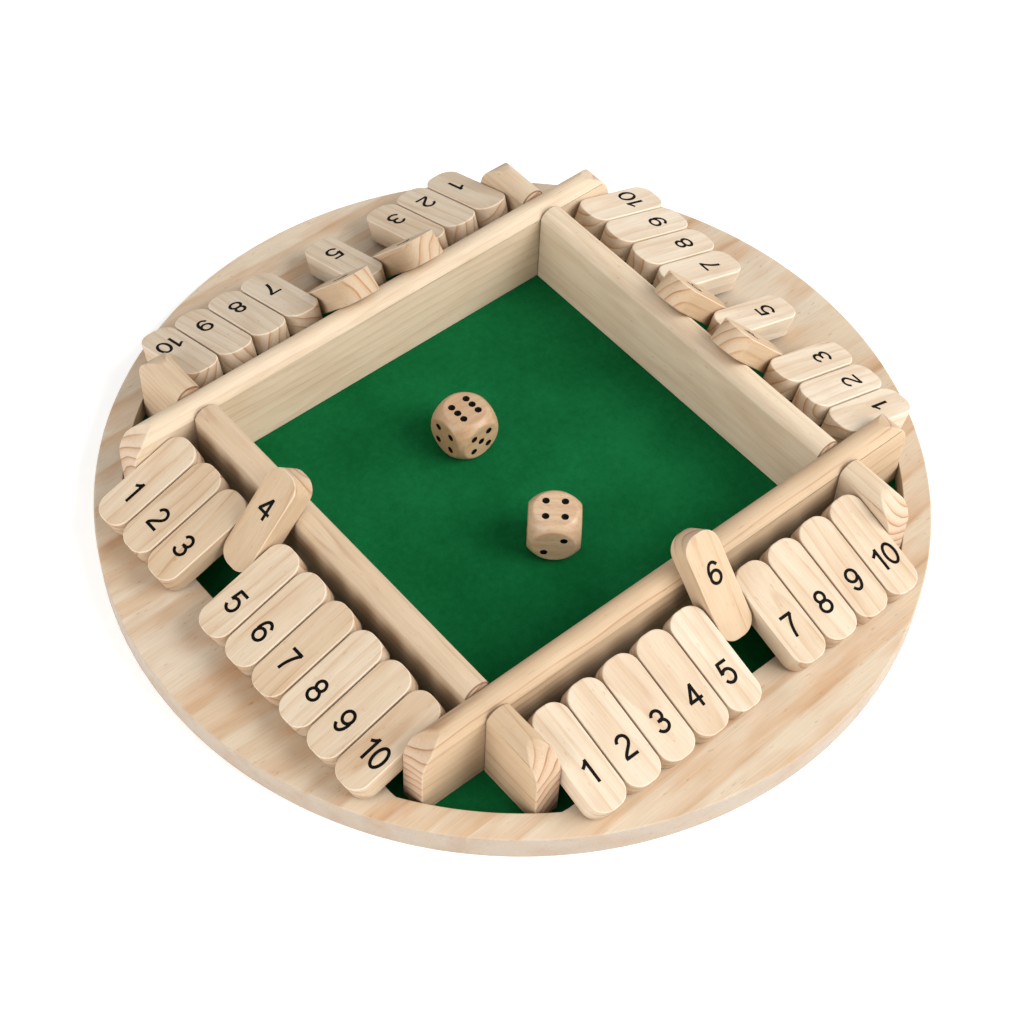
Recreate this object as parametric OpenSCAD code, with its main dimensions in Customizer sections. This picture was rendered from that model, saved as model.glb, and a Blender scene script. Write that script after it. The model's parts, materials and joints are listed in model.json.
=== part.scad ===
// Shut the box game for four players: a round board with a felt-lined well, a square
// frame of walls in it, a rod along each side of the frame and ten tiles on each rod.
// Millimetres. The origin is the middle of the board's underside and +Z is up.
// The four sides are north (+Y), east (+X), south (-Y) and west (-X).

/* [Board] */
// Thickness of the round board
board_t = 11; // [9:0.5:16]
// Width of the board outside the well, where it is narrowest
rim_w = 10; // [7:0.5:30]
// Rounding of the board's outer edges
board_edge_r = 0.6; // [0.2:0.1:1.5]
// Thickness of the panel that closes the well from below
panel_t = 2.5; // [1.5:0.1:5]
// How far the panel reaches under the board, past the well
panel_lap = 4; // [2:0.5:6]
// Gap round the panel in its rebate
panel_fit = 0.3; // [0.1:0.05:0.6]
// Thickness of the felt
felt_t = 0.5; // [0.3:0.1:1.5]
// Gap between the felt and the side of the well
felt_fit = 0.2; // [0.1:0.05:0.5]

/* [Frame] */
// Thickness of the walls and end blocks
wall_t = 10; // [6:0.5:14]
// Height of the walls and end blocks above the felt
wall_h = 34.2; // [30:0.1:45]
// Height of the rounded crown along their tops, above the straight sides
crown_h = 3.6; // [2:0.1:5]
// Rounding of the free ends of the walls and end blocks, seen from the side
free_end_r = 12; // [2:0.5:14]
// Wood between a rod's middle and the free end of the wall or end block
past_rod = 11.9; // [8:0.1:20]
// Least gap between the frame and the round side of the well
well_fit = 0.35; // [0.2:0.05:1]

/* [Rods] */
// Diameter of the steel rods that the tiles turn on
rod_d = 3; // [2:0.1:4]
// Height of the rods' middle above the felt
rod_h = 22.9; // [19:0.1:26]
// How deep each end of a rod sits in the wood
rod_in = 5.8; // [2:0.1:6]
// Gap past the end of a rod in its hole
rod_end_fit = 0.2; // [0.1:0.1:0.5]
// Gap round the rods in the frame
rod_fit = 0.05; // [0.02:0.01:0.1]
// Gap round the rods in the tiles
turn_fit = 0.08; // [0.03:0.01:0.1]

/* [Tiles] */
// Number of tiles on each rod
tile_n = 10; // [6:1:12]
// Length of a tile
tile_l = 40; // [36:0.5:50]
// Width of a tile
tile_w = 14.3; // [13:0.1:20]
// Thickness of a tile
tile_t = 9.5; // [6:0.5:10]
// Rounding of a tile's four corners, seen from above
tile_corner_r = 6; // [2:0.1:6.4]
// Distance from a tile's inner end to the middle of its rod
tile_back = 9; // [8:0.5:14]
// Gap between neighbouring tiles
tile_gap = 0.7; // [0.4:0.1:1.5]
// Least gap between the tiles' inner ends and the frame as they turn
swing_fit = 3.7; // [0.5:0.1:6]
// How far a tile's free end reaches onto the board, past the side of the well
tile_rest = 10.2; // [3:0.1:14]
// Gap left under a tile that lies on the board or leans on the frame
rest_fit = 0.1; // [0.05:0.05:0.3]
// Numbers that are turned over in the north, east, south and west rows
turned_over = [[4, 6], [4, 6], [6], [4]];

/* [Dice] */
// Width of a die
die_w = 19; // [12:0.5:24]
// How much wider than the die the ball is that rounds its corners
die_ball_extra = 5.6; // [3:0.1:8]
// Radius of a pip
pip_r = 1.35; // [0.8:0.05:1.6]
// Depth of a pip
pip_depth = 0.5; // [0.3:0.1:0.7]
// Distance between neighbouring rows of pips
pip_step = 3.4; // [2.8:0.1:3.6]
// Where the first die lies on the felt
die_1_at = [-1.3, 27.1];
// How far the first die is turned about its upright axis
die_1_turn = 0.8; // [-45:0.1:45]
// Where the second die lies on the felt
die_2_at = [-5.6, -28];
// How far the second die is turned about its upright axis
die_2_turn = -42; // [-45:0.1:45]

/* [Hidden] */
SIDES = ["north", "east", "south", "west"];
// The sides in the order of their turns: 0 is west, and each next one is a quarter turn on
TURNS = ["west", "south", "east", "north"];
pine = "#e6cfaa";
light_pine = "#eddcbe";
ply = "#d8c19a";
green = "#11663a";
steel = "#b4b6b8";
die_wood = "#dcbd94";

// Tiles fill each side of the tray, with half a gap at each end of the row
pitch = tile_w + tile_gap;
tray = tile_n * pitch;
frame_r = tray / 2 + wall_t;

// A tile's inner end sweeps a circle about its rod, which has to clear the frame
swing_r = norm([tile_back, tile_t / 2]);
rod_r = frame_r + swing_r + swing_fit;
arm_r = rod_r + past_rod;
felt_z = panel_t + felt_t;
rod_z = felt_z + rod_h;

// The round side of the well clears the corners of the long walls' free ends
well_r = norm([arm_r, frame_r]) + well_fit;
board_r = well_r + rim_w;
panel_r = well_r + panel_lap;

// Slope of a tile whose lower outer edge lies on the board
reach = tile_l - tile_back;
tile_diag = norm([reach, tile_t / 2]);
slope = asin((rod_z - board_t - rest_fit) / tile_diag) - atan2(tile_t / 2, reach);
// Where that edge lies, and the flat side of the well short of it
tile_end_r = rod_r + reach * cos(slope) - tile_t / 2 * sin(slope);
well_flat_r = tile_end_r - tile_rest;

// Radius of the crown, an arc that meets the straight sides at an edge
crown_r = (wall_t * wall_t / 4 + crown_h * crown_h) / (2 * crown_h);
// Lean, above the level, of a tile that is turned over onto the wall's crown
lean_run = wall_t / 2 + swing_r + swing_fit;
lean_rise = wall_h - crown_r - rod_h;
lean = atan2(lean_rise, lean_run)
    + asin((tile_t / 2 + crown_r + rest_fit) / norm([lean_run, lean_rise]));
turn_over = 180 - lean + slope;

function tile_names(side) = [for (n = [1:tile_n]) str("tile_", side, "_", n)];
function is_over(side, n) =
    len([for (k = turned_over[search([side], SIDES)[0]]) if (k == n) k]) > 0;

// Outline of the well, or of what lies in it, drawn in by a gap
module well_outline(gap) {
    intersection() {
        circle(r = well_r - gap, $fn = 180);
        square(2 * (well_flat_r - gap), center = true);
    }
}

// Half section of the board's disc, with its outer edges rounded
module disc_section() {
    e = board_edge_r;
    square([board_r - e, board_t]);
    translate([0, e])
        square([board_r, board_t - 2 * e]);
    for (z = [e, board_t - e])
        translate([board_r - e, z])
            circle(r = e, $fn = 24);
}

// Pine board with the well cut through it and a rebate for the panel below
module rim_board() {
    color(pine)
        difference() {
            rotate_extrude($fn = 180)
                intersection() {
                    disc_section();
                    square([board_r, board_t]);
                }
            translate([0, 0, -1])
                linear_extrude(board_t + 2)
                    well_outline(0);
            translate([0, 0, -1])
                cylinder(r = panel_r + panel_fit, h = panel_t + 1, $fn = 180);
        }
}

// Plywood disc in the rebate, flush with the board's underside
module base_panel() {
    color(ply)
        cylinder(r = panel_r, h = panel_t, $fn = 180);
}

// Felt that covers the whole floor of the well
module felt() {
    color(green)
        translate([0, 0, panel_t])
            linear_extrude(felt_t)
                well_outline(felt_fit);
}

// Section of a wall or end block: straight sides and a crowned top
module wall_section() {
    intersection() {
        translate([-wall_t / 2, 0])
            square([wall_t, wall_h]);
        union() {
            translate([-crown_r, 0])
                square([2 * crown_r, wall_h - crown_r]);
            translate([0, wall_h - crown_r])
                circle(r = crown_r, $fn = 96);
        }
    }
}

// Bar of the wall section along +X from the origin, square at both ends
module bar(length) {
    rotate([90, 0, 90])
        linear_extrude(length)
            wall_section();
}

// Side view of a bar whose end at the given length is rounded over
module rounded_side(start, length) {
    r = free_end_r;
    translate([start, 0])
        square([length - start, wall_h - r]);
    translate([start, 0])
        square([length - start - r, wall_h]);
    translate([length - r, wall_h - r])
        circle(r = r, $fn = 96);
}

// Long wall along X, rounded over at both free ends, with a rod hole in each arm
module long_wall() {
    color(light_pine)
        translate([0, frame_r - wall_t / 2, felt_z])
            difference() {
                intersection() {
                    translate([-arm_r, 0, 0])
                        bar(2 * arm_r);
                    rotate([90, 0, 0])
                        linear_extrude(2 * wall_t, center = true) {
                            rounded_side(0, arm_r);
                            mirror([1, 0])
                                rounded_side(0, arm_r);
                        }
                }
                for (s = [-1, 1])
                    translate([s * rod_r, -wall_t / 2, rod_h])
                        rod_hole();
            }
}

// Blind hole for a rod's end, drilled along +Y from the origin
module rod_hole() {
    rotate([-90, 0, 0])
        translate([0, 0, -1])
            cylinder(d = rod_d + 2 * rod_fit, h = rod_in + rod_end_fit + 1, $fn = 32);
}

// Short wall between the two long ones, square at both ends
module short_wall() {
    color(light_pine)
        translate([frame_r - wall_t / 2, -tray / 2, felt_z])
            rotate([0, 0, 90])
                bar(tray);
}

// End block outside a long wall, in line with the short wall, with a rod hole
module end_block() {
    color(light_pine)
        translate([frame_r - wall_t / 2, 0, felt_z])
            difference() {
                intersection() {
                    translate([0, frame_r, 0])
                        rotate([0, 0, 90])
                            bar(arm_r - frame_r);
                    rotate([90, 0, 90])
                        linear_extrude(2 * wall_t, center = true)
                            rounded_side(frame_r, arm_r);
                }
                translate([-wall_t / 2, rod_r, rod_h])
                    rotate([0, 0, -90])
                        rod_hole();
            }
}

// Rod of the west row: it runs along Y, held in the long walls' arms
module rod() {
    color(steel)
        translate([-rod_r, 0, rod_z])
            rotate([90, 0, 0])
                cylinder(d = rod_d, h = tray + 2 * rod_in, center = true, $fn = 32);
}

// Outline of a tile seen from above, from its inner end along +X
module tile_outline() {
    r = tile_corner_r;
    translate([r, -tile_w / 2])
        square([tile_l - 2 * r, tile_w]);
    translate([0, r - tile_w / 2])
        square([tile_l, tile_w - 2 * r]);
    for (x = [r, tile_l - r], y = [-1, 1])
        translate([x, y * (tile_w / 2 - r)])
            circle(r = r, $fn = 48);
}

// Tile about its rod: the free end points along +X and the bore runs along Y
module tile_shape() {
    difference() {
        translate([-tile_back, 0, -tile_t / 2])
            linear_extrude(tile_t)
                tile_outline();
        rotate([90, 0, 0])
            cylinder(d = rod_d + 2 * turn_fit, h = tile_w + 2, center = true, $fn = 32);
    }
}

// Tile n of a row, lying on the board or turned over onto the frame.
// Number 1 is at the left of the player who sits outside that row.
module tile(side, n) {
    quarter = search([side], TURNS)[0];
    color(n % 2 == 0 ? light_pine : pine)
        rotate([0, 0, 90 * quarter])
            translate([-rod_r, tray / 2 - pitch * (n - 0.5), rod_z])
                rotate([0, is_over(side, n) ? turn_over : 0, 0])
                    rotate([0, 0, 180])
                        rotate([0, slope, 0])
                            tile_shape();
}

// Middles of the pips of one face, as [x, y] in steps
function pips(count) =
    count == 1 ? [[0, 0]] :
    count == 2 ? [[-1, -1], [1, 1]] :
    count == 3 ? [[-1, -1], [0, 0], [1, 1]] :
    count == 4 ? [[-1, -1], [-1, 1], [1, -1], [1, 1]] :
    count == 5 ? [[-1, -1], [-1, 1], [1, -1], [1, 1], [0, 0]] :
    [for (x = [-1, 1], y = [-1, 0, 1]) [x, y]];

// Dimples of one face, whose outward normal is +Z at the given height
module face_pips(count, height) {
    ball_r = (pip_r * pip_r + pip_depth * pip_depth) / (2 * pip_depth);
    for (p = pips(count))
        translate([p.x * pip_step, p.y * pip_step, height + ball_r - pip_depth])
            sphere(r = ball_r, $fn = 32);
}

// Cube rounded by a ball, with the given counts on its faces
// in the order top, bottom, -Y, +Y, -X, +X
module die(counts) {
    half = die_w / 2;
    turns = [[0, 0, 0], [180, 0, 0], [90, 0, 0], [-90, 0, 0], [0, -90, 0], [0, 90, 0]];
    color(die_wood)
        difference() {
            intersection() {
                cube(die_w, center = true);
                sphere(d = die_w + die_ball_extra, $fn = 96);
            }
            for (i = [0:5])
                rotate(turns[i])
                    face_pips(counts[i], half);
        }
}

module die_1() {
    translate([die_1_at.x, die_1_at.y, felt_z + die_w / 2])
        rotate([0, 0, die_1_turn])
            die([6, 1, 5, 2, 4, 3]);
}

module die_2() {
    translate([die_2_at.x, die_2_at.y, felt_z + die_w / 2])
        rotate([0, 0, die_2_turn])
            die([4, 3, 2, 5, 1, 6]);
}

rim_board();
base_panel();
felt();
long_wall();  // wall_north
short_wall();  // wall_east
mirror([0, 1, 0]) long_wall();  // wall_south
mirror([1, 0, 0]) short_wall();  // wall_west
end_block();  // block_northeast
mirror([0, 1, 0]) end_block();  // block_southeast
rotate([0, 0, 180]) end_block();  // block_southwest
mirror([1, 0, 0]) end_block();  // block_northwest
for (quarter = [0:3])
    rotate([0, 0, 90 * quarter]) rod();
for (side = SIDES, n = [1:tile_n])
    tile(side, n);
die_1();
die_2();
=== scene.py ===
import json
import math
import random

import bmesh
import bpy
from mathutils import Matrix, Vector


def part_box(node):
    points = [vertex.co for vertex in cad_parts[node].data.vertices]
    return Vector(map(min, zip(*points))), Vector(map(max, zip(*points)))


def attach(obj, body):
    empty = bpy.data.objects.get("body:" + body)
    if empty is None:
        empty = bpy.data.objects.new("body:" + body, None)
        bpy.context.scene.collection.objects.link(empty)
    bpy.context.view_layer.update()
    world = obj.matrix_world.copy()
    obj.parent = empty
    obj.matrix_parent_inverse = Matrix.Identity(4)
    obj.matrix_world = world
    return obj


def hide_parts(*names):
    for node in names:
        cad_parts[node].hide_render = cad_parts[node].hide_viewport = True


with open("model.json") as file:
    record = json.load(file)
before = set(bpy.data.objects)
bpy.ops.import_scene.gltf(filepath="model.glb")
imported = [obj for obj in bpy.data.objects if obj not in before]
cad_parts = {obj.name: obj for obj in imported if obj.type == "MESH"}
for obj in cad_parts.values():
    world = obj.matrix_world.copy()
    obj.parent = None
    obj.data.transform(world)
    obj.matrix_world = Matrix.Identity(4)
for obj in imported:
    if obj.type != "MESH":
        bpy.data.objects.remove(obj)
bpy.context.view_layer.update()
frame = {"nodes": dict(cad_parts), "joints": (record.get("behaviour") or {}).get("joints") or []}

# The round board. Pine staves are glued edge to edge, planed to one thickness, sawn round,
# and sanded. The well is cut right through, and only its upper edge is broken by hand.
MM = 0.001
STAVE_W = 46 * MM
STAVE_START = -150 * MM
BOARD_EDGE_R = 0.6 * MM
WELL_EDGE_R = 0.35 * MM
WELL_GAP = 0.35 * MM
FELT_GAP = 0.2 * MM
REBATE_GAP = 0.3 * MM
BOARD_STEP = 1
SHARP = math.radians(40)
WELD = 0.002 * MM
LOG_L_MM = 900
RING_SCATTER = 18

board_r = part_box("rim_board")[1].x
board_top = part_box("rim_board")[1].z
panel_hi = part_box("base_panel")[1]
felt_lo, felt_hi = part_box("felt")
arm_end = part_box("wall_south")[1].x
frame_r = -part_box("wall_south")[0].y
well_r = math.hypot(arm_end, frame_r) + WELL_GAP
well_flat_r = felt_hi.x + FELT_GAP
rebate_r = panel_hi.x + REBATE_GAP


def well_reach(angle, gap):
    """How far the side of the well, or of what lies in it a gap inside it, is from the middle."""
    flat = (well_flat_r - gap) / max(abs(math.cos(angle)), abs(math.sin(angle)))
    return min(well_r - gap, flat)


def rounding(middle_a, middle_b, radius, start, end, steps=4):
    """Points of an arc in a section, from one angle in degrees to the other."""
    turns = [math.radians(start + (end - start) * i / steps) for i in range(steps + 1)]
    return [(middle_a + radius * math.cos(t), middle_b + radius * math.sin(t)) for t in turns]


def board_section(angle):
    """The board cut along one radius: its points as distance from the middle and height."""
    inner = well_reach(angle, 0)
    edge, lip = BOARD_EDGE_R, WELL_EDGE_R
    under = [(rebate_r, 0), (rebate_r, panel_hi.z), (inner, panel_hi.z)]
    lips = rounding(inner + lip, board_top - lip, lip, 180, 90, 3)
    rim = rounding(board_r - edge, board_top - edge, edge, 90, 0)
    rim += rounding(board_r - edge, edge, edge, 0, -90)
    return under + lips + rim


def closed_mesh(name, points, faces):
    """A mesh with its faces turned outwards, smooth but for its sharp edges."""
    mesh = bpy.data.meshes.new(name)
    mesh.from_pydata(points, [], faces)
    shell = bmesh.new()
    shell.from_mesh(mesh)
    bmesh.ops.remove_doubles(shell, verts=shell.verts, dist=WELD)
    bmesh.ops.dissolve_degenerate(shell, edges=shell.edges, dist=WELD / 2)
    bmesh.ops.recalc_face_normals(shell, faces=shell.faces)
    shell.to_mesh(mesh)
    shell.free()
    mesh.shade_smooth()
    mesh.set_sharp_from_angle(angle=SHARP)
    return mesh


def strips(rows, around):
    """Faces that join each row of points to the next, and the last row to the first if it goes around."""
    count = len(rows[0])
    faces = []
    for i in range(len(rows) - (0 if around else 1)):
        a, b = i * count, (i + 1) % len(rows) * count
        faces += [(a + j, b + j, b + (j + 1) % count, a + (j + 1) % count) for j in range(count)]
    return [p for row in rows for p in row], faces


def lay_grain(mesh, stave=None, tones=(0, 1), pith=(25, 60), lean=0.02, ring_face=None, sawn_and_side_shade=0):
    """Writes where each corner lies in the plank that it was cut from, in millimetres with X along the
    grain and the pith at the origin. A stave function gives the glued piece that a face belongs to, and
    the last share tells how far upright faces all round take the colour of open end grain. This is partly
    for a saw-cut edge and partly a painted shade for the dimmer light on those sides."""
    for name, kind in (("grain", "FLOAT_VECTOR"), ("tone", "FLOAT"), ("end_grain_and_side_shade", "FLOAT")):
        mesh.attributes.new(name, kind, "CORNER")
    grain, tone, end_grain_and_side_shade = (mesh.attributes[name].data for name in ("grain", "tone", "end_grain_and_side_shade"))
    planks = {}
    for face in mesh.polygons:
        piece = stave(face.center) if stave else 0
        if piece not in planks:
            out = random.uniform(*pith)
            about = random.uniform(0, 360) if ring_face is None else random.gauss(ring_face, RING_SCATTER)
            about = math.radians(about)
            start = Vector((random.uniform(0, LOG_L_MM), out * math.cos(about), out * math.sin(about)))
            planks[piece] = (start, random.uniform(*tones),
                             random.uniform(-lean, lean), random.uniform(-lean, lean))
        offset, shade, lean_y, lean_z = planks[piece]
        for corner in face.loop_indices:
            at = mesh.vertices[mesh.loops[corner].vertex_index].co / MM
            grain[corner].vector = at + offset + Vector((0, at.x * lean_y, at.x * lean_z))
            tone[corner].value = shade
            normal = mesh.corner_normals[corner].vector
            end_grain_and_side_shade[corner].value = sawn_and_side_shade * math.hypot(normal.x, normal.y) if sawn_and_side_shade else abs(normal.x)


def linear(colour):
    """Linear red, green, blue and alpha of an sRGB colour written as #rrggbb."""
    parts = [int(colour[i:i + 2], 16) / 255 for i in (1, 3, 5)]
    return [p / 12.92 if p <= 0.04045 else ((p + 0.055) / 1.055) ** 2.4 for p in parts] + [1]


def add(tree, kind, inputs=None, stops=None, **settings):
    """Adds a shader node with its settings, its ramp's stops and its inputs: values or sockets to link."""
    made = tree.nodes.new("ShaderNode" + kind)
    for name, value in settings.items():
        setattr(made, name, value)
    for key, value in (inputs or {}).items():
        if isinstance(value, bpy.types.NodeSocket):
            tree.links.new(value, made.inputs[key])
        else:
            made.inputs[key].default_value = value
    for i, (at, colour) in enumerate(stops or []):
        stop = made.color_ramp.elements[i] if i < 2 else made.color_ramp.elements.new(at)
        stop.position, stop.color = at, colour
    return made


def finish(name, **gloss):
    """A new material's tree and its shader, with the shader's own sockets set."""
    made = bpy.data.materials.new(name)
    made.use_nodes = True
    tree = made.node_tree
    shader = tree.nodes["Principled BSDF"]
    for key, value in gloss.items():
        shader.inputs[key.replace("_", " ")].default_value = value
    return made, tree, shader


BLACK, DARK_GREY, WHITE = ((v, v, v, 1) for v in (0, 0.12, 1))


def sanded_pine(name, early, late, deep, ends, rings_mm, bands, lines, flecks, paler_edges_and_highlight):
    """Sanded pine under a thin matt lacquer. Pale early wood darkens to each thin late-wood line and starts
    again, fine fibres run along it, and short brown resin ducts and warm patches tint it here and there. Its
    eased edges are sanded paler and carry a painted highlight, or are dark with glue and dust where two
    pieces join. Bands and flecks give how strongly these show, and lines how strong the late lines are along
    the grain and, added, across it."""
    made, tree, shader = finish(name, IOR=1.5, Specular_IOR_Level=0.35)
    grain = add(tree, "Attribute", attribute_name="grain").outputs["Vector"]
    tone = add(tree, "Attribute", attribute_name="tone").outputs["Fac"]
    end = add(tree, "Attribute", attribute_name="end_grain_and_side_shade").outputs["Fac"]
    eased = add(tree, "Attribute", attribute_name="eased").outputs["Fac"]

    # All scales count per millimetre of wood. The rings wander over some 22 mm across the grain.
    stretched = add(tree, "VectorMath", {0: grain, 1: (0.25, 1, 1)}, operation="MULTIPLY").outputs[0]
    wander = add(tree, "TexNoise", {"Vector": stretched, "Scale": 0.045, "Detail": 2}).outputs["Color"]
    sway = add(tree, "VectorMath", {0: wander, 1: (0, 7, 7), 2: grain}, operation="MULTIPLY_ADD").outputs[0]
    # A ring wave's period is a circle's turn over 20 times its scale. Each ring darkens slowly outwards,
    # to a thin line of late wood, and ends at once.
    rings = add(tree, "TexWave", {"Vector": sway, "Scale": 2 * math.pi / 20 / rings_mm, "Distortion": 0.5,
                                  "Detail": 2, "Detail Scale": 0.3},
                wave_type="RINGS", rings_direction="X", wave_profile="SAW").outputs["Fac"]
    late_band = add(tree, "ValToRGB", {0: rings}, [(0, BLACK), (0.9, WHITE), (0.45, DARK_GREY),
                                                   (1, BLACK)]).outputs[0]
    late_line = add(tree, "ValToRGB", {0: rings}, [(0.78, BLACK), (0.92, WHITE), (1, BLACK)]).outputs[0]

    # Fibres lie 0.4 mm apart, far coarser than real ones, so that they show. Patches of colour are 8 mm
    # wide and 28 mm long, and resin ducts 0.8 mm wide and 3 mm long.
    fibre_at = add(tree, "VectorMath", {0: grain, 1: (0.05, 2.4, 2.4)}, operation="MULTIPLY").outputs[0]
    fibres = add(tree, "TexNoise", {"Vector": fibre_at, "Scale": 1, "Detail": 3}).outputs["Fac"]
    patch_at = add(tree, "VectorMath", {0: grain, 1: (0.3, 1, 1)}, operation="MULTIPLY").outputs[0]
    patches = add(tree, "TexNoise", {"Vector": patch_at, "Scale": 0.12, "Detail": 2}).outputs["Fac"]
    duct_at = add(tree, "VectorMath", {0: grain, 1: (0.3, 1.3, 1.3)}, operation="MULTIPLY").outputs[0]
    ducts = add(tree, "TexNoise", {"Vector": duct_at, "Scale": 1, "Detail": 1}).outputs["Fac"]
    duct_mark = add(tree, "MapRange", {"Value": ducts, "From Min": 0.7, "From Max": 0.78}).outputs[0]

    body = add(tree, "MixRGB", {0: tone, 1: linear(early[0]), 2: linear(early[1])}).outputs[0]
    warm = add(tree, "MapRange", {"Value": patches, "From Min": 0.45, "From Max": 0.75,
                                  "To Max": bands * 1.3}).outputs[0]
    body = add(tree, "MixRGB", {0: warm, 1: body, 2: linear(late)}).outputs[0]
    # Faces cut across the grain turn towards the ends colour. On the board's upright sides this is partly a
    # painted shade for the dimmer light there.
    cross_cut_and_side_shade = add(tree, "MapRange", {"Value": end, "From Min": 0.3, "From Max": 0.95}).outputs[0]
    dull_and_side_shade = add(tree, "Math", {0: cross_cut_and_side_shade, 1: 0.6}, operation="MULTIPLY").outputs[0]
    body = add(tree, "MixRGB", {0: dull_and_side_shade, 1: body, 2: linear(ends)}).outputs[0]
    seen = add(tree, "Math", {0: cross_cut_and_side_shade, 1: lines[1], 2: bands}, operation="MULTIPLY_ADD").outputs[0]
    band = add(tree, "Math", {0: late_band, 1: seen}, operation="MULTIPLY").outputs[0]
    body = add(tree, "MixRGB", {0: band, 1: body, 2: linear(late)}).outputs[0]
    streak = add(tree, "MapRange", {"Value": fibres, "From Min": 0.3, "From Max": 0.7, "To Min": 0.92,
                                    "To Max": 1.06}).outputs[0]
    body = add(tree, "MixRGB", {0: 1, 1: body, 2: streak}, blend_type="MULTIPLY").outputs[0]
    speck = add(tree, "Math", {0: duct_mark, 1: flecks}, operation="MULTIPLY").outputs[0]
    body = add(tree, "MixRGB", {0: speck, 1: body, 2: linear(deep)}).outputs[0]
    distinct = add(tree, "MapRange", {"Value": patches, "From Min": 0.42, "From Max": 0.62,
                                      "To Max": lines[0]}).outputs[0]
    darker = add(tree, "Math", {0: distinct, 1: tone}, operation="MULTIPLY").outputs[0]
    marked = add(tree, "Math", {0: cross_cut_and_side_shade, 1: lines[1], 2: darker}, operation="MULTIPLY_ADD").outputs[0]
    line = add(tree, "Math", {0: late_line, 1: marked}, operation="MULTIPLY").outputs[0]
    body = add(tree, "MixRGB", {0: line, 1: body, 2: linear(deep)}).outputs[0]
    # The eased edges turn towards a pale cream. This is partly sanded wear and partly a painted highlight for
    # the light that the arrises catch.
    arris_wear_and_highlight = add(tree, "Math", {0: eased, 1: paler_edges_and_highlight}, operation="MULTIPLY").outputs[0]
    body = add(tree, "MixRGB", {0: arris_wear_and_highlight, 1: body, 2: linear("#fff4e2")}).outputs[0]
    joint = add(tree, "Math", {0: eased, 1: -0.75}, operation="MULTIPLY").outputs[0]
    body = add(tree, "MixRGB", {0: joint, 1: body, 2: linear("#5a3a22")}).outputs[0]
    tree.links.new(body, shader.inputs["Base Color"])

    rough = add(tree, "MapRange", {"Value": fibres, "To Min": 0.58, "To Max": 0.78}).outputs[0]
    tree.links.new(rough, shader.inputs["Roughness"])
    relief = add(tree, "Bump", {"Height": fibres, "Strength": 0.12, "Distance": 0.1 * MM}).outputs[0]
    tree.links.new(relief, shader.inputs["Normal"])
    return made


def place(name, mesh, material, body, stands_for=(), at=None):
    """Puts a piece in the scene at its place, in its material, on its body."""
    piece = bpy.data.objects.new(name, mesh)
    bpy.context.scene.collection.objects.link(piece)
    piece.matrix_world = at or Matrix.Identity(4)
    if material:
        mesh.materials.clear()
        mesh.materials.append(material)
    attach(piece, body)
    if stands_for:
        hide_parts(*stands_for)
    return piece


def even_shading(piece):
    """Keeps broad faces flat in light and lets only the eased edges between them turn."""
    weighted = piece.modifiers.new("even", "WEIGHTED_NORMAL")
    weighted.keep_sharp = True


def cut_staves(mesh):
    """Cuts the board's faces along its glue lines, so that each stave has its own grain."""
    shell = bmesh.new()
    shell.from_mesh(mesh)
    line = STAVE_START + STAVE_W
    while line < board_r:
        every = list(shell.verts) + list(shell.edges) + list(shell.faces)
        bmesh.ops.bisect_plane(shell, geom=every, plane_co=(0, line, 0), plane_no=(0, 1, 0), dist=WELD / 2)
        line += STAVE_W
    shell.to_mesh(mesh)
    shell.free()
    mesh.set_sharp_from_angle(angle=SHARP)


random.seed(31)
turns = [math.radians(a) for a in range(0, 360, BOARD_STEP)]
rows = [[(d * math.cos(t), d * math.sin(t), z) for d, z in board_section(t)] for t in turns]
board_mesh = closed_mesh("round_board", *strips(rows, around=True))
cut_staves(board_mesh)
# The board's upright sides take the greyish ends colour below at a high share. This is partly the saw-cut rim
# and partly a painted shade for the lower light on the side band.
lay_grain(board_mesh, stave=lambda at: int((at.y - STAVE_START) / STAVE_W), tones=(0.1, 0.7),
          pith=(35, 80), lean=0.06, ring_face=80, sawn_and_side_shade=0.85)
board_pine = sanded_pine("sanded_board_pine", early=("#d1c2ad", "#cab69b"), late="#b98b5e", deep="#8d5a32",
                         ends="#8e8682", rings_mm=11, bands=0.42, lines=(0.4, -0.35), flecks=0.4,
                         paler_edges_and_highlight=0)
round_board = place("round_board", board_mesh, board_pine, "board", ["rim_board"])
even_shading(round_board)

# The base panel. Raw birch plywood, sawn round. It is glued from below into the rebate under
# the board, flush with its underside, and closes the well.
PLY_T_MM = 0.8


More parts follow.
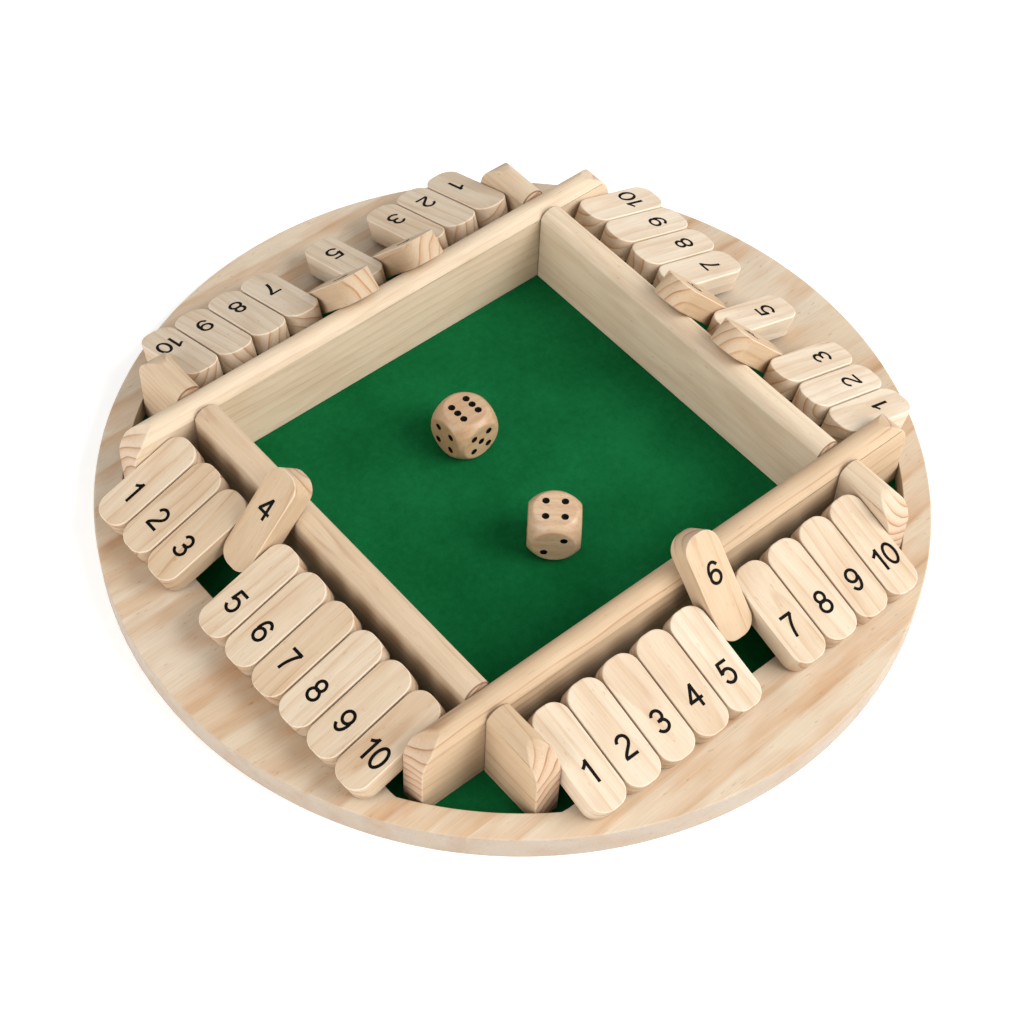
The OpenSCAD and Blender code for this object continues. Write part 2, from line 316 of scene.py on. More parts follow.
def raw_plywood():
    """Raw rotary-cut birch: soft waves of grain, 20 mm wide and three times as long, on its faces, and
    thin plies, every other one dark, at its edge."""
    made, tree, shader = finish("raw_plywood", IOR=1.5, Roughness=0.75)
    where = add(tree, "TexCoord").outputs["Object"]
    in_mm = add(tree, "VectorMath", {0: where, 1: (300, 1000, 1000)}, operation="MULTIPLY").outputs[0]
    waves = add(tree, "TexNoise", {"Vector": in_mm, "Scale": 0.05, "Detail": 4,
                                   "Distortion": 1.5}).outputs["Fac"]
    face = add(tree, "ValToRGB", {0: waves}, [(0.3, linear("#c9a878")), (0.7, linear("#dcc096"))]).outputs[0]
    height = add(tree, "SeparateXYZ", {0: in_mm}).outputs["Z"]
    ply = add(tree, "Math", {0: height, 1: PLY_T_MM * 2}, operation="MODULO").outputs[0]
    dark_ply = add(tree, "Math", {0: ply, 1: PLY_T_MM}, operation="GREATER_THAN").outputs[0]
    normal = add(tree, "SeparateXYZ", {0: add(tree, "NewGeometry").outputs["Normal"]}).outputs["Z"]
    upright = add(tree, "Math", {0: normal}, operation="ABSOLUTE").outputs[0]
    side = add(tree, "Math", {0: upright, 1: 0.5}, operation="LESS_THAN").outputs[0]
    cross = add(tree, "Math", {0: dark_ply, 1: side}, operation="MULTIPLY").outputs[0]
    body = add(tree, "MixRGB", {0: cross, 1: face, 2: linear("#a9825a")}).outputs[0]
    tree.links.new(body, shader.inputs["Base Color"])
    relief = add(tree, "Bump", {"Height": waves, "Strength": 0.1, "Distance": 0.1 * MM}).outputs[0]
    tree.links.new(relief, shader.inputs["Normal"])
    return made


panel = frame["nodes"]["base_panel"]
panel.data.materials.clear()
panel.data.materials.append(raw_plywood())

# The felt. One sheet of short green wool felt is cut to the well's outline and glued down
# flat on the panel, under the frame, the tiles and the corners alike.
FELT_STEP = 2
FELT_RINGS = 14


def wool_felt():
    """Pressed wool felt: short fibres lie every way, so it looks soft and mottled, with a faint sheen. It
    clouds over 33 mm and mottles over 2 mm, and its lint is 0.3 mm, coarser than wool, so that it shows."""
    made, tree, shader = finish("green_wool_felt", IOR=1.45, Roughness=0.95, Sheen_Weight=0.02,
                                Sheen_Roughness=0.5, Specular_IOR_Level=0.03)
    where = add(tree, "TexCoord").outputs["Object"]
    in_mm = add(tree, "VectorMath", {0: where, 1: (1000, 1000, 1000)}, operation="MULTIPLY").outputs[0]
    clouds = add(tree, "TexNoise", {"Vector": in_mm, "Scale": 0.03, "Detail": 3}).outputs["Fac"]
    mottle = add(tree, "TexNoise", {"Vector": in_mm, "Scale": 0.5, "Detail": 4,
                                    "Roughness": 0.65}).outputs["Fac"]
    fibre = add(tree, "TexNoise", {"Vector": in_mm, "Scale": 3.5, "Detail": 2,
                                   "Distortion": 2}).outputs["Fac"]
    both = add(tree, "MixRGB", {0: 0.45, 1: clouds, 2: mottle}).outputs[0]
    tint = add(tree, "ValToRGB", {0: both}, [(0.38, linear("#085429")), (0.62, linear("#106335"))]).outputs[0]
    lint = add(tree, "MapRange", {"Value": fibre, "From Min": 0.25, "From Max": 0.75, "To Min": 0.78,
                                  "To Max": 1.25}).outputs[0]
    body = add(tree, "MixRGB", {0: 1, 1: tint, 2: lint}, blend_type="MULTIPLY").outputs[0]
    tree.links.new(body, shader.inputs["Base Color"])
    pile = add(tree, "Math", {0: fibre, 1: mottle}, operation="ADD").outputs[0]
    relief = add(tree, "Bump", {"Height": pile, "Strength": 0.35, "Distance": 0.15 * MM}).outputs[0]
    tree.links.new(relief, shader.inputs["Normal"])
    return made


def capped(name, rows):
    """A closed mesh through rows of points, with one face over the first row and one over the last."""
    points, faces = strips(rows, around=False)
    count = len(rows[0])
    faces += [tuple(range(count)), tuple(range(len(points) - 1, len(points) - count - 1, -1))]
    return closed_mesh(name, points, faces)


def felt_ring(share, height):
    """Points round the felt at a share of the way from its middle to its cut edge."""
    reaches = [(math.radians(a), share * well_reach(math.radians(a), FELT_GAP))
               for a in range(0, 360, FELT_STEP)]
    return [(r * math.cos(t), r * math.sin(t), height) for t, r in reaches]


rings = [felt_ring((i + 1) / FELT_RINGS, felt_hi.z) for i in range(FELT_RINGS)]
felt_mesh = capped("felt_lining", rings + [felt_ring(1, felt_lo.z)])
felt = place("felt_lining", felt_mesh, wool_felt(), "board", ["felt"])

# The frame. Four walls and four end blocks of pine, moulded with a crowned top. The ends that
# stand free are rounded over on a sander, and all of it is glued down onto the felted floor.
FREE_END_R = 12 * MM
CROWN_H = 3.6 * MM
WALL_EDGE_R = 0.45 * MM
ROD_FIT = 0.05 * MM
ROD_HOLE_IN = 6 * MM
ROUND_STEPS = 24
DRILL_SIDES = 48
CARVED_WELD = 0.005 * MM
EASE_ANGLE = math.radians(28)
CREASE_ANGLE = math.radians(14)
QUARTER = math.pi / 2

wall_lo, wall_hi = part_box("wall_west")
wall_t = wall_hi.x - wall_lo.x
wall_h = wall_hi.z - wall_lo.z
tray = wall_hi.y - wall_lo.y
rod_lo, rod_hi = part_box("rod_west")
rod_middle = (rod_lo + rod_hi) / 2
rod_r = -rod_middle.x
rod_d = rod_hi.z - rod_lo.z


def bar_mesh(name, length):
    """A bar of the moulded section along X, its bottom edges broken."""
    half, e = wall_t / 2, WALL_EDGE_R
    crown_r = (half * half + CROWN_H * CROWN_H) / 2 / CROWN_H
    spring = math.degrees(math.acos(half / crown_r))
    outline = rounding(0, wall_h - crown_r, crown_r, spring, 180 - spring, ROUND_STEPS)
    outline += rounding(-half + e, e, e, 180, 270, 2) + rounding(half - e, e, e, 270, 360, 2)
    return capped(name, [[(x, y, z) for y, z in outline] for x in (0, length)])


def side_cutter(length, round_start):
    """A block with the bar's side view, its free ends rounded over."""
    r = FREE_END_R
    outline = rounding(length - r, wall_h - r, r, 0, 90, ROUND_STEPS)
    outline += rounding(r, wall_h - r, r, 90, 180, ROUND_STEPS) if round_start else [(-r, wall_h)]
    outline += [(0 if round_start else -r, -r), (length, -r)]
    return capped("side_view", [[(x, y, z) for x, z in outline] for y in (-wall_t, wall_t)])


def drill(radius, start, end):
    """A round cutter from one point to another."""
    along = (end - start).normalized()
    aside = along.orthogonal().normalized()
    spokes = [Matrix.Rotation(2 * math.pi * i / DRILL_SIDES, 3, along) @ aside * radius
              for i in range(DRILL_SIDES)]
    return capped("drill", [[middle + spoke for spoke in spokes] for middle in (start, end)])


def carved(mesh, cuts):
    """The mesh after its cuts, each a cutter and what it does, worked out exactly."""
    block = bpy.data.objects.new("block", mesh)
    bpy.context.scene.collection.objects.link(block)
    cutters = []
    for cutter_mesh, what in cuts:
        cutter = bpy.data.objects.new("cutter", cutter_mesh)
        bpy.context.scene.collection.objects.link(cutter)
        cutters.append(cutter)
        cut = block.modifiers.new("cut", "BOOLEAN")
        cut.object, cut.operation, cut.solver, cut.material_mode = cutter, what, "EXACT", "TRANSFER"
    bpy.context.view_layer.update()
    solved = bpy.data.meshes.new_from_object(block.evaluated_get(bpy.context.evaluated_depsgraph_get()))
    for spent in [block] + cutters:
        bpy.data.objects.remove(spent)
    return solved


def break_edges(mesh, keep, butts=()):
    """Eases a piece's sharp edges, apart from those that the keep function names, and marks the new faces:
    with 1 on free edges, and with -1 at the places along X where it butts against another piece."""
    shell = bmesh.new()
    shell.from_mesh(mesh)
    bmesh.ops.remove_doubles(shell, verts=shell.verts, dist=CARVED_WELD)
    sharp = [e for e in shell.edges if len(e.link_faces) == 2 and e.calc_face_angle() > EASE_ANGLE
             and not keep((e.verts[0].co + e.verts[1].co) / 2)]
    eased = shell.faces.layers.float.new("eased")
    made = bmesh.ops.bevel(shell, geom=sharp, offset=WALL_EDGE_R, segments=2, profile=0.5, affect="EDGES",
                           clamp_overlap=False)
    for face in made["faces"]:
        joined = any(abs(face.calc_center_median().x - butt) < WALL_EDGE_R for butt in butts)
        face[eased] = -1 if joined else 1
    shell.to_mesh(mesh)
    shell.free()
    mesh.shade_smooth()
    mesh.set_sharp_from_angle(angle=CREASE_ANGLE)
    return mesh


frame_pine = sanded_pine("sanded_frame_pine", early=("#d8c5ab", "#c2a889"), late="#b08962", deep="#84552f",
                         ends="#c4a994", rings_mm=3.5, bands=0.2, lines=(0.5, 0.6), flecks=0.25,
                         paler_edges_and_highlight=0.1)
random.seed(7)


def stand(name, mesh, start, turned, tone):
    """Gives a bar its own grain and stands it on the felt, at its start and then turned round the middle."""
    lay_grain(mesh, tones=(tone, tone), pith=(20, 50))
    where = Matrix.Rotation(turned, 4, "Z") @ Matrix.Translation((*start, felt_hi.z))
    even_shading(place(name, mesh, frame_pine, "board", [name], where))


def long_wall(name, turned, tone):
    """A long wall with both ends free, and a blind rod hole in the inner side of each arm."""
    length = 2 * arm_end
    cuts = [(side_cutter(length, True), "INTERSECT")]
    for x in (arm_end - rod_r, arm_end + rod_r):
        at_rod = Vector((x, wall_t, rod_middle.z - felt_hi.z))
        bottom = Vector((x, wall_t / 2 - ROD_HOLE_IN, at_rod.z))
        cuts.append((drill(rod_d / 2 + ROD_FIT, at_rod, bottom), "DIFFERENCE"))
    ends = 3 * WALL_EDGE_R
    mesh = break_edges(carved(bar_mesh(name, length), cuts),
                       keep=lambda at: ends < at.x < length - ends and at.z < ends)
    stand(name, mesh, (-arm_end, -frame_r + wall_t / 2), turned, tone)


def short_wall(name, turned, tone):
    """A short wall that butts between the long ones."""
    mesh = break_edges(bar_mesh(name, tray), keep=lambda at: at.z < 3 * WALL_EDGE_R, butts=(0, tray))
    stand(name, mesh, (-tray / 2, -frame_r + wall_t / 2), turned, tone)


def end_block(name, turned, hand, tone):
    """An end block that butts against a long wall and carries on the short wall's line."""
    length = arm_end - frame_r
    at_rod = Vector((rod_r - frame_r, -hand * wall_t, rod_middle.z - felt_hi.z))
    bottom = at_rod + Vector((0, hand * (wall_t / 2 + ROD_HOLE_IN), 0))
    cuts = [(side_cutter(length, False), "INTERSECT"),
            (drill(rod_d / 2 + ROD_FIT, at_rod, bottom), "DIFFERENCE")]
    ends = 3 * WALL_EDGE_R
    mesh = break_edges(carved(bar_mesh(name, length), cuts),
                       keep=lambda at: at.x < length - ends and at.z < ends, butts=(0,))
    stand(name, mesh, (frame_r, hand * (frame_r - wall_t / 2)), turned, tone)


long_wall("wall_south", turned=0, tone=0.95)
long_wall("wall_north", turned=2 * QUARTER, tone=0.15)
short_wall("wall_east", turned=QUARTER, tone=0)
short_wall("wall_west", turned=-QUARTER, tone=0.6)
end_block("block_northeast", turned=QUARTER, hand=-1, tone=0.4)
end_block("block_northwest", turned=QUARTER, hand=1, tone=0.7)
end_block("block_southwest", turned=-QUARTER, hand=-1, tone=1)
end_block("block_southeast", turned=-QUARTER, hand=1, tone=0.2)

# The rods. Bright drawn steel wire, cut to length and pushed into the blind holes as the
# frame is glued up. The tiles are threaded on them first.


def drawn_steel():
    """Drawn wire: bright, with a faint rub from the draw plate, broken up over a quarter of a millimetre."""
    made, tree, shader = finish("drawn_steel", Metallic=1.0)
    where = add(tree, "TexCoord").outputs["Object"]
    fine = add(tree, "VectorMath", {0: where, 1: (4000, 4000, 4000)}, operation="MULTIPLY").outputs[0]
    rub = add(tree, "TexNoise", {"Vector": fine, "Scale": 1, "Detail": 2}).outputs["Fac"]
    body = add(tree, "ValToRGB", {0: rub}, [(0.3, linear("#a9abad")), (0.7, linear("#c3c5c6"))]).outputs[0]
    tree.links.new(body, shader.inputs["Base Color"])
    rough = add(tree, "MapRange", {"Value": rub, "To Min": 0.25, "To Max": 0.42}).outputs[0]
    tree.links.new(rough, shader.inputs["Roughness"])
    return made


steel = drawn_steel()
for side in ("north", "east", "south", "west"):
    rod = frame["nodes"]["rod_" + side]
    rod.data.materials.clear()
    rod.data.materials.append(steel)

# The tiles. Short pine slats with rounded corners, bored across and tumbled until every edge
# is eased. Each turns on its rod and carries its number on both broad faces.
TILE_L = 40 * MM
TILE_W = 14.3 * MM
TILE_T = 9.5 * MM
TILE_BACK = 9 * MM
TILE_CORNER_R = 6 * MM
TILE_CORNER_STEPS = 16
TILE_EDGE_R = 0.55 * MM
TURN_FIT = 0.08 * MM
REST_GAP = 0.1 * MM
TILES = 10

joints = {j["name"]: j for j in frame["joints"]}
reach = TILE_L - TILE_BACK
lift = rod_middle.z - board_top - REST_GAP
slope = math.asin(lift / math.hypot(reach, TILE_T / 2)) - math.atan2(TILE_T / 2, reach)


def tile_outline(inset):
    """The tile seen from above, from its rod along X, drawn in by an inset."""
    r = TILE_CORNER_R
    points = []
    for x, y, start in ((reach - r, TILE_W / 2 - r, 0), (r - TILE_BACK, TILE_W / 2 - r, 90),
                        (r - TILE_BACK, r - TILE_W / 2, 180), (reach - r, r - TILE_W / 2, 270)):
        points += rounding(x, y, r - inset, start, start + 90, TILE_CORNER_STEPS)
    return points


def tile_blank():
    """A tile's mesh, eased all round and bored for the rod."""
    e = TILE_EDGE_R
    levels = rounding(e, TILE_T / 2 - e, e, 90, 180) + rounding(e, e - TILE_T / 2, e, 180, 270)
    slat = capped("tile_blank", [[(x, y, z) for x, y in tile_outline(inset)] for inset, z in levels])
    eased = slat.attributes.new("eased", "FLOAT", "FACE").data
    for face in slat.polygons:
        upright, level = abs(face.normal.z) < 0.2, abs(face.normal.z) > 0.98
        eased[face.index].value = 0 if upright or level else 1
    bore = drill(rod_d / 2 + TURN_FIT, Vector((0, -TILE_W, 0)), Vector((0, TILE_W, 0)))
    mesh = carved(slat, [(bore, "DIFFERENCE")])
    mesh.shade_smooth()
    mesh.set_sharp_from_angle(angle=SHARP)
    return mesh


tile_pine = sanded_pine("sanded_tile_pine", early=("#dacbb6", "#bfa381"), late="#b6916a", deep="#925d31",
                        ends="#bfa990", rings_mm=4, bands=0.3, lines=(0.5, 0.5), flecks=0.3,
                        paler_edges_and_highlight=0.22)

# The numbers on the tiles. Thin black ink, screen-printed on the sanded wood before
# lacquering. The strokes have one width, and their ends are cut square.
DIGIT_H = 8.7 * MM
DIGIT_STEP = 0.58
TEN_SHIFT = 0.03
STROKE = 0.132
INK_T = 0.03 * MM
TOP_NUMBER_AT = 16.8 * MM
BACK_NUMBER_AT = 16 * MM


def bend(x, y, rx, ry, start, end, steps=20):
    """Points of an oval arc, from one angle in degrees to the other, in digit heights."""
    turns = [math.radians(start + (end - start) * i / steps) for i in range(steps + 1)]
    return [(x + rx * math.cos(t), y + ry * math.sin(t)) for t in turns]


def sweep(a, b, c, d, steps=14):
    """Points of a curve from a to d that leaves towards b and comes in from c."""
    points = []
    for i in range(steps + 1):
        t = i / steps
        w = ((1 - t) ** 3, 3 * t * (1 - t) ** 2, 3 * t * t * (1 - t), t ** 3)
        points.append(tuple(sum(k * p[axis] for k, p in zip(w, (a, b, c, d))) for axis in (0, 1)))
    return points


# Each digit's strokes, in digit heights from its middle. TOP and LOW are a stroke's middle line at its ends.
TOP, LOW = 0.5 - STROKE / 2, STROKE / 2 - 0.5
SIX = [bend(0.01, -0.175, 0.235, TOP - 0.175, 0, 360, 40), bend(0.03, 0, 0.255, TOP, 188, 36, 26)]
DIGITS = {
    "0": [bend(0, 0, 0.24, TOP, 0, 360, 44)],
    "1": [[(0.07, -0.5), (0.07, 0.5)], sweep((0.07, 0.44), (0.0, 0.34), (-0.08, 0.28), (-0.19, 0.22))],
    "2": [bend(0, 0.19, 0.235, TOP - 0.19, 172, -12)
          + sweep((0.225, 0.12), (0.15, -0.1), (-0.2, -0.2), (-0.25, LOW)),
          [(-0.3, LOW), (0.29, LOW)]],
    "3": [bend(-0.01, 0.21, 0.215, TOP - 0.21, 165, -90), bend(-0.01, -0.205, 0.25, 0.2325, 90, -165),
          [(-0.1, 0.005), (0, 0.005)]],
    "4": [[(0.13, -0.5), (0.13, 0.5)], [(0.12, 0.44), (-0.27, -0.17)], [(-0.32, -0.17), (0.31, -0.17)]],
    "5": [[(-0.19, TOP), (0.25, TOP)], [(-0.165, 0.48), (-0.235, -0.02)],
          bend(-0.01, -0.155, 0.25, 0.2825, 148, -158)],
    "6": SIX,
    "7": [[(-0.28, TOP), (0.28, TOP)], sweep((0.25, TOP), (0.05, 0.2), (-0.08, -0.15), (-0.1, -0.5))],
    "8": [bend(0, 0.22, 0.2, TOP - 0.22, 0, 360, 36), bend(0, -0.2, 0.245, 0.2375, 0, 360, 40)],
    "9": [[(-x, -y) for x, y in stroke] for stroke in SIX],
}


def stroke_sides(points):
    """The two sides of a stroke of even width along its points."""
    closed = math.dist(points[0], points[-1]) < 0.001
    sides = []
    for i, (x, y) in enumerate(points):
        before = points[i - 1] if i else (points[-2] if closed else points[0])
        after = points[i + 1] if i < len(points) - 1 else (points[1] if closed else points[-1])
        along = Vector((after[0] - before[0], after[1] - before[1])).normalized()
        aside = Vector((-along.y, along.x)) * STROKE / 2
        sides.append(((x + aside.x, y + aside.y), (x - aside.x, y - aside.y)))
    return sides


def number_mesh(name, number, to_tile):
    """A number's strokes as thin films of ink, laid on each of the places that to_tile gives. Each stroke
    is a tenth of a film higher than the one before, so that their tops never share a plane."""
    points, faces = [], []
    digits = str(number)
    for place_on in to_tile:
        for k, digit in enumerate(digits):
            shift = (k - (len(digits) - 1) / 2) * DIGIT_STEP + (TEN_SHIFT if number == 10 else 0)
            for above, stroke in enumerate(DIGITS[digit]):
                top = INK_T * (1 + 0.1 * above)
                first = len(points)
                for left, right in stroke_sides(stroke):
                    for (x, y), z in ((left, top), (right, top), (right, 0), (left, 0)):
                        points.append(place_on @ Vector(((x + shift) * DIGIT_H, y * DIGIT_H, z)))
                for i in range(len(stroke) - 1):
                    a = first + 4 * i
                    faces += [(a + j, a + (j + 1) % 4, a + 4 + (j + 1) % 4, a + 4 + j) for j in range(4)]
                faces += [(first, first + 1, first + 2, first + 3)]
                faces += [tuple(range(len(points) - 1, len(points) - 5, -1))]
    mesh = bpy.data.meshes.new(name)
    mesh.from_pydata(points, [], faces)
    shell = bmesh.new()
    shell.from_mesh(mesh)
    bmesh.ops.recalc_face_normals(shell, faces=shell.faces)
    shell.to_mesh(mesh)
    shell.free()
    return mesh


def printing_ink():
    """Black screen ink on wood: matt, a little thin where the fibres stand up, every 0.4 mm across."""
    made, tree, shader = finish("black_printing_ink", IOR=1.5, Specular_IOR_Level=0.06)
    where = add(tree, "TexCoord").outputs["Object"]
    fibres = add(tree, "VectorMath", {0: where, 1: (700, 2600, 2600)}, operation="MULTIPLY").outputs[0]
    wear = add(tree, "TexNoise", {"Vector": fibres, "Scale": 1, "Detail": 3}).outputs["Fac"]
    body = add(tree, "ValToRGB", {0: wear}, [(0.4, linear("#080706")), (0.8, linear("#141210"))]).outputs[0]
    tree.links.new(body, shader.inputs["Base Color"])
    rough = add(tree, "MapRange", {"Value": wear, "To Min": 0.5, "To Max": 0.7}).outputs[0]
    tree.links.new(rough, shader.inputs["Roughness"])
    return made


ink = printing_ink()
# Numbers read upright for the player who sits outside the row, so their tops point inwards.
on_top = Matrix.Translation((TOP_NUMBER_AT, 0, TILE_T / 2)) @ Matrix.Rotation(QUARTER, 4, "Z")
on_back = (Matrix.Translation((BACK_NUMBER_AT, 0, -TILE_T / 2)) @ Matrix.Rotation(math.pi, 4, "X")
           @ Matrix.Rotation(-QUARTER, 4, "Z"))
blank = tile_blank()
random.seed(12)
# Each row's shades, from its palest wood to its darkest, and those of the tiles that are turned over.
ROW_TONES = (("west", (0.35, 0.75)), ("south", (0.1, 0.45)), ("east", (0, 0.15)), ("north", (0.1, 0.45)))
TURNED_TONES = (0.7, 1)
for side, tones in ROW_TONES:
    for n in range(1, TILES + 1):
        name = f"tile_{side}_{n}"
        hinge = joints[name + "_turn"]
        axis = Vector(hinge["axis"])
        turned_over = -min(hinge["range_deg"])
        outwards = math.atan2(-axis.x, axis.y) + math.pi
        where = (Matrix.Translation(hinge["pos_m"]) @ Matrix.Rotation(math.radians(turned_over), 4, axis)
                 @ Matrix.Rotation(outwards, 4, "Z") @ Matrix.Rotation(slope, 4, "Y"))
        mesh = blank.copy()
        lay_grain(mesh, tones=TURNED_TONES if turned_over else tones, pith=(6, 45), lean=0.05)
        even_shading(place(name + "_slat", mesh, tile_pine, name, [name], where))
        number = number_mesh(name + "_number", n, (on_top, on_back))
        place(name + "_number", number, ink, name, (), where)

# The dice. Beech cubes whose corners are turned down to one round ball, drilled with small
# dimples that are filled with black paint, and polished.
DIE_W = 19 * MM
DIE_BALL_R = 12.3 * MM
PIP_R = 1.35 * MM
PIP_DEPTH = 0.5 * MM
PIP_STEP = 3.4 * MM
DIE_FACE_STEPS = 40
DIE_EDGE_SOFT = 0.25 * MM
DIE_SHARP = math.radians(25)
PIPS = {1: [(0, 0)], 2: [(-1, -1), (1, 1)], 3: [(-1, -1), (0, 0), (1, 1)],
        4: [(-1, -1), (-1, 1), (1, -1), (1, 1)], 5: [(-1, -1), (-1, 1), (1, -1), (1, 1), (0, 0)],
        6: [(x, y) for x in (-1, 1) for y in (-1, 0, 1)]}
# How the top face turns to each face: top, bottom, -Y, +Y, -X and +X.
FACE_TURNS = [(0, "X"), (math.pi, "X"), (QUARTER, "X"), (-QUARTER, "X"), (-QUARTER, "Y"), (QUARTER, "Y")]


def die_blank():
    """A cube rounded by a ball, its edges where flat meets round softened by polishing."""
    shell = bmesh.new()
    bmesh.ops.create_cube(shell, size=2)
    bmesh.ops.subdivide_edges(shell, edges=shell.edges, cuts=DIE_FACE_STEPS, use_grid_fill=True)
    for v in shell.verts:
        way = v.co.normalized()
        flat = DIE_W / 2 / max(abs(way.x), abs(way.y), abs(way.z))
        soft = max(DIE_EDGE_SOFT - abs(flat - DIE_BALL_R), 0)
        v.co = way * (min(flat, DIE_BALL_R) - soft * soft / DIE_EDGE_SOFT / 4)
    mesh = bpy.data.meshes.new("die_blank")
    shell.to_mesh(mesh)
    shell.free()
    mesh.materials.append(beech)
    return mesh


def pip_ball(turn, x, y):
    """The ball of the drill that cuts one dimple."""
    ball_r = (PIP_R ** 2 + PIP_DEPTH ** 2) / 2 / PIP_DEPTH
    ball = bmesh.new()
    bmesh.ops.create_icosphere(ball, subdivisions=5, radius=ball_r)
    angle, axis = turn
    over_face = Vector((x * PIP_STEP, y * PIP_STEP, DIE_W / 2 + ball_r - PIP_DEPTH))
    middle = Matrix.Rotation(angle, 4, axis) @ over_face
    bmesh.ops.translate(ball, verts=ball.verts, vec=middle)
    mesh = bpy.data.meshes.new("pip")
    ball.to_mesh(mesh)
    ball.free()
    mesh.materials.append(enamel)
    return mesh


def polished_beech():
    """Polished beech: warm tan, each cube its own shade, banded every 2 mm, with dark ray flecks 2 mm
    long."""
    made, tree, shader = finish("polished_beech", IOR=1.5)
    grain = add(tree, "Attribute", attribute_name="grain").outputs["Vector"]
    end = add(tree, "Attribute", attribute_name="end_grain_and_side_shade").outputs["Fac"]
    long_way = add(tree, "VectorMath", {0: grain, 1: (0.1, 0.8, 0.8)}, operation="MULTIPLY").outputs[0]
    bands = add(tree, "TexNoise", {"Vector": long_way, "Scale": 0.6, "Detail": 3}).outputs["Fac"]
    tone = add(tree, "Attribute", attribute_name="tone").outputs["Fac"]
    body = add(tree, "ValToRGB", {0: bands}, [(0.3, linear("#ceb597")), (0.75, linear("#be9774"))]).outputs[0]
    body = add(tree, "MixRGB", {0: tone, 1: body, 2: linear("#e4dccf")}, blend_type="MULTIPLY").outputs[0]
    flecks = add(tree, "VectorMath", {0: grain, 1: (0.5, 3, 3)}, operation="MULTIPLY").outputs[0]
    rays = add(tree, "TexNoise", {"Vector": flecks, "Scale": 1, "Detail": 1}).outputs["Fac"]
    marks = add(tree, "MapRange", {"Value": rays, "From Min": 0.62, "From Max": 0.72,
                                   "To Max": 0.4}).outputs[0]
    body = add(tree, "MixRGB", {0: marks, 1: body, 2: linear("#906641")}).outputs[0]
    ends = add(tree, "MapRange", {"Value": end, "From Min": 0.5, "From Max": 1, "To Max": 0.5}).outputs[0]
    body = add(tree, "MixRGB", {0: ends, 1: body, 2: linear("#aa865f")}).outputs[0]
    tree.links.new(body, shader.inputs["Base Color"])
    rough = add(tree, "MapRange", {"Value": bands, "To Min": 0.32, "To Max": 0.48}).outputs[0]
    tree.links.new(rough, shader.inputs["Roughness"])
    return made


def pip_paint():
    """Black enamel in the dimples: smooth and a little glossy, thicker in some places than in others."""
    made, tree, shader = finish("black_pip_enamel", IOR=1.5, Specular_IOR_Level=0.06)
    where = add(tree, "TexCoord").outputs["Object"]
    in_mm = add(tree, "VectorMath", {0: where, 1: (1000, 1000, 1000)}, operation="MULTIPLY").outputs[0]
    thick = add(tree, "TexNoise", {"Vector": in_mm, "Scale": 1.5, "Detail": 2}).outputs["Fac"]
    body = add(tree, "ValToRGB", {0: thick}, [(0.3, linear("#080706")), (0.8, linear("#12100e"))]).outputs[0]
    tree.links.new(body, shader.inputs["Base Color"])
    rough = add(tree, "MapRange", {"Value": thick, "To Min": 0.3, "To Max": 0.5}).outputs[0]
    tree.links.new(rough, shader.inputs["Roughness"])
    return made


beech, enamel = polished_beech(), pip_paint()
random.seed(5)
for name, turned, shade, counts in (("die_1", 0.8, 0.7, (6, 1, 5, 2, 4, 3)),
                                    ("die_2", -42, 0.1, (4, 3, 2, 5, 1, 6))):
    low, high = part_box(name)
    middle = (low + high) / 2
    cuts = []
    for turn, count in zip(FACE_TURNS, counts):
        cuts += [(pip_ball(turn, x, y), "DIFFERENCE") for x, y in PIPS[count]]
    mesh = carved(die_blank(), cuts)
    mesh.shade_smooth()
    mesh.set_sharp_from_angle(angle=DIE_SHARP)
    lay_grain(mesh, pith=(10, 30), tones=(shade, shade))
    where = (Matrix.Translation((middle.x, middle.y, felt_hi.z + DIE_W / 2))
             @ Matrix.Rotation(math.radians(turned), 4, "Z"))
    place(name + "_cube", mesh, None, name, [name], where)

# The picture. White paper under the board, a broad soft lamp high on the right, a weaker one on
# the left, and a camera about 0.76 m away that looks down from between two rows.
CAMERA_AT = (-0.32313, -0.35215, 0.60542)
CAMERA_AIM = (-0.0064, -0.0119, 0)
CAMERA_ROLL = 3.351
LENS_MM = 74.446
SENSOR_MM = 36
SHIFT = (-0.00953, 0.00741)
PAPER_HALF = 6
PAPER_GAP = 0.02 * MM

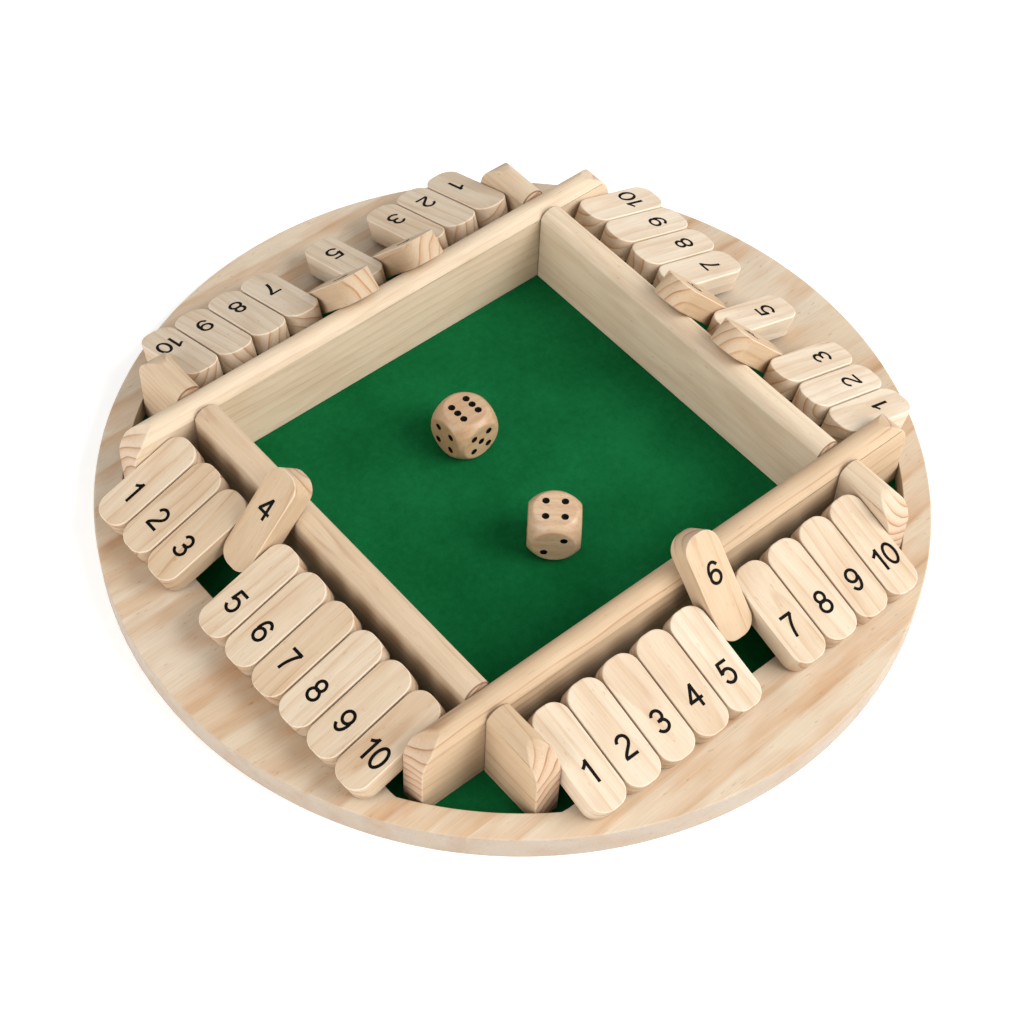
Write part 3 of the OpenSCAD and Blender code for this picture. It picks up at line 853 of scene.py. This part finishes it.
aim = Vector(CAMERA_AIM) - Vector(CAMERA_AT)
lens = bpy.data.cameras.new("camera")
lens.lens, lens.sensor_width = LENS_MM, SENSOR_MM
lens.shift_x, lens.shift_y = SHIFT
lens.clip_start, lens.clip_end = 0.01, 20
camera = bpy.data.objects.new("camera", lens)
bpy.context.scene.collection.objects.link(camera)
camera.matrix_world = (Matrix.Translation(CAMERA_AT) @ aim.to_track_quat("-Z", "Y").to_matrix().to_4x4()
                       @ Matrix.Rotation(math.radians(CAMERA_ROLL), 4, "Z"))
bpy.context.scene.camera = camera


def soft_lamp(name, at, size, watts):
    """A square white soft box that faces the middle of the board."""
    box = bpy.data.lights.new(name, "AREA")
    box.energy, box.size = watts, size
    lamp = bpy.data.objects.new(name, box)
    bpy.context.scene.collection.objects.link(lamp)
    lamp.location = at
    lamp.rotation_euler = (-Vector(at)).to_track_quat("-Z", "Y").to_euler()


soft_lamp("key_lamp", at=(0.73, -1.05, 0.96), size=1.2, watts=31.8)
soft_lamp("fill_lamp", at=(-1.48, 0, 0.6), size=1, watts=14.8)

# The room's light is a little weaker from above than from the sides.
sky = bpy.data.worlds.new("white_room")
bpy.context.scene.world = sky
sky.use_nodes = True
room = sky.node_tree
up = add(room, "SeparateXYZ", {0: add(room, "TexCoord").outputs["Generated"]}).outputs["Z"]
glow = add(room, "MapRange", {"Value": up, "To Min": 0.6, "To Max": 0.48}).outputs[0]
room.links.new(glow, room.nodes["Background"].inputs["Strength"])
room.nodes["Background"].inputs["Color"].default_value = (1, 1, 1, 1)

floor_mesh = bpy.data.meshes.new("table")
floor_mesh.from_pydata([(x * PAPER_HALF, y * PAPER_HALF, 0) for x, y in ((-1, -1), (1, -1), (1, 1), (-1, 1))],
                       [], [(0, 1, 2, 3)])
table = bpy.data.objects.new("table", floor_mesh)
bpy.context.scene.collection.objects.link(table)
table.location.z = -PAPER_GAP
paper = finish("white_paper", Roughness=0.9, IOR=1.4, Emission_Strength=0.25,
               Base_Color=linear("#fbfbfa"), Emission_Color=linear("#ffffff"))[0]
floor_mesh.materials.append(paper)

bpy.context.scene.view_settings.view_transform = "Standard"
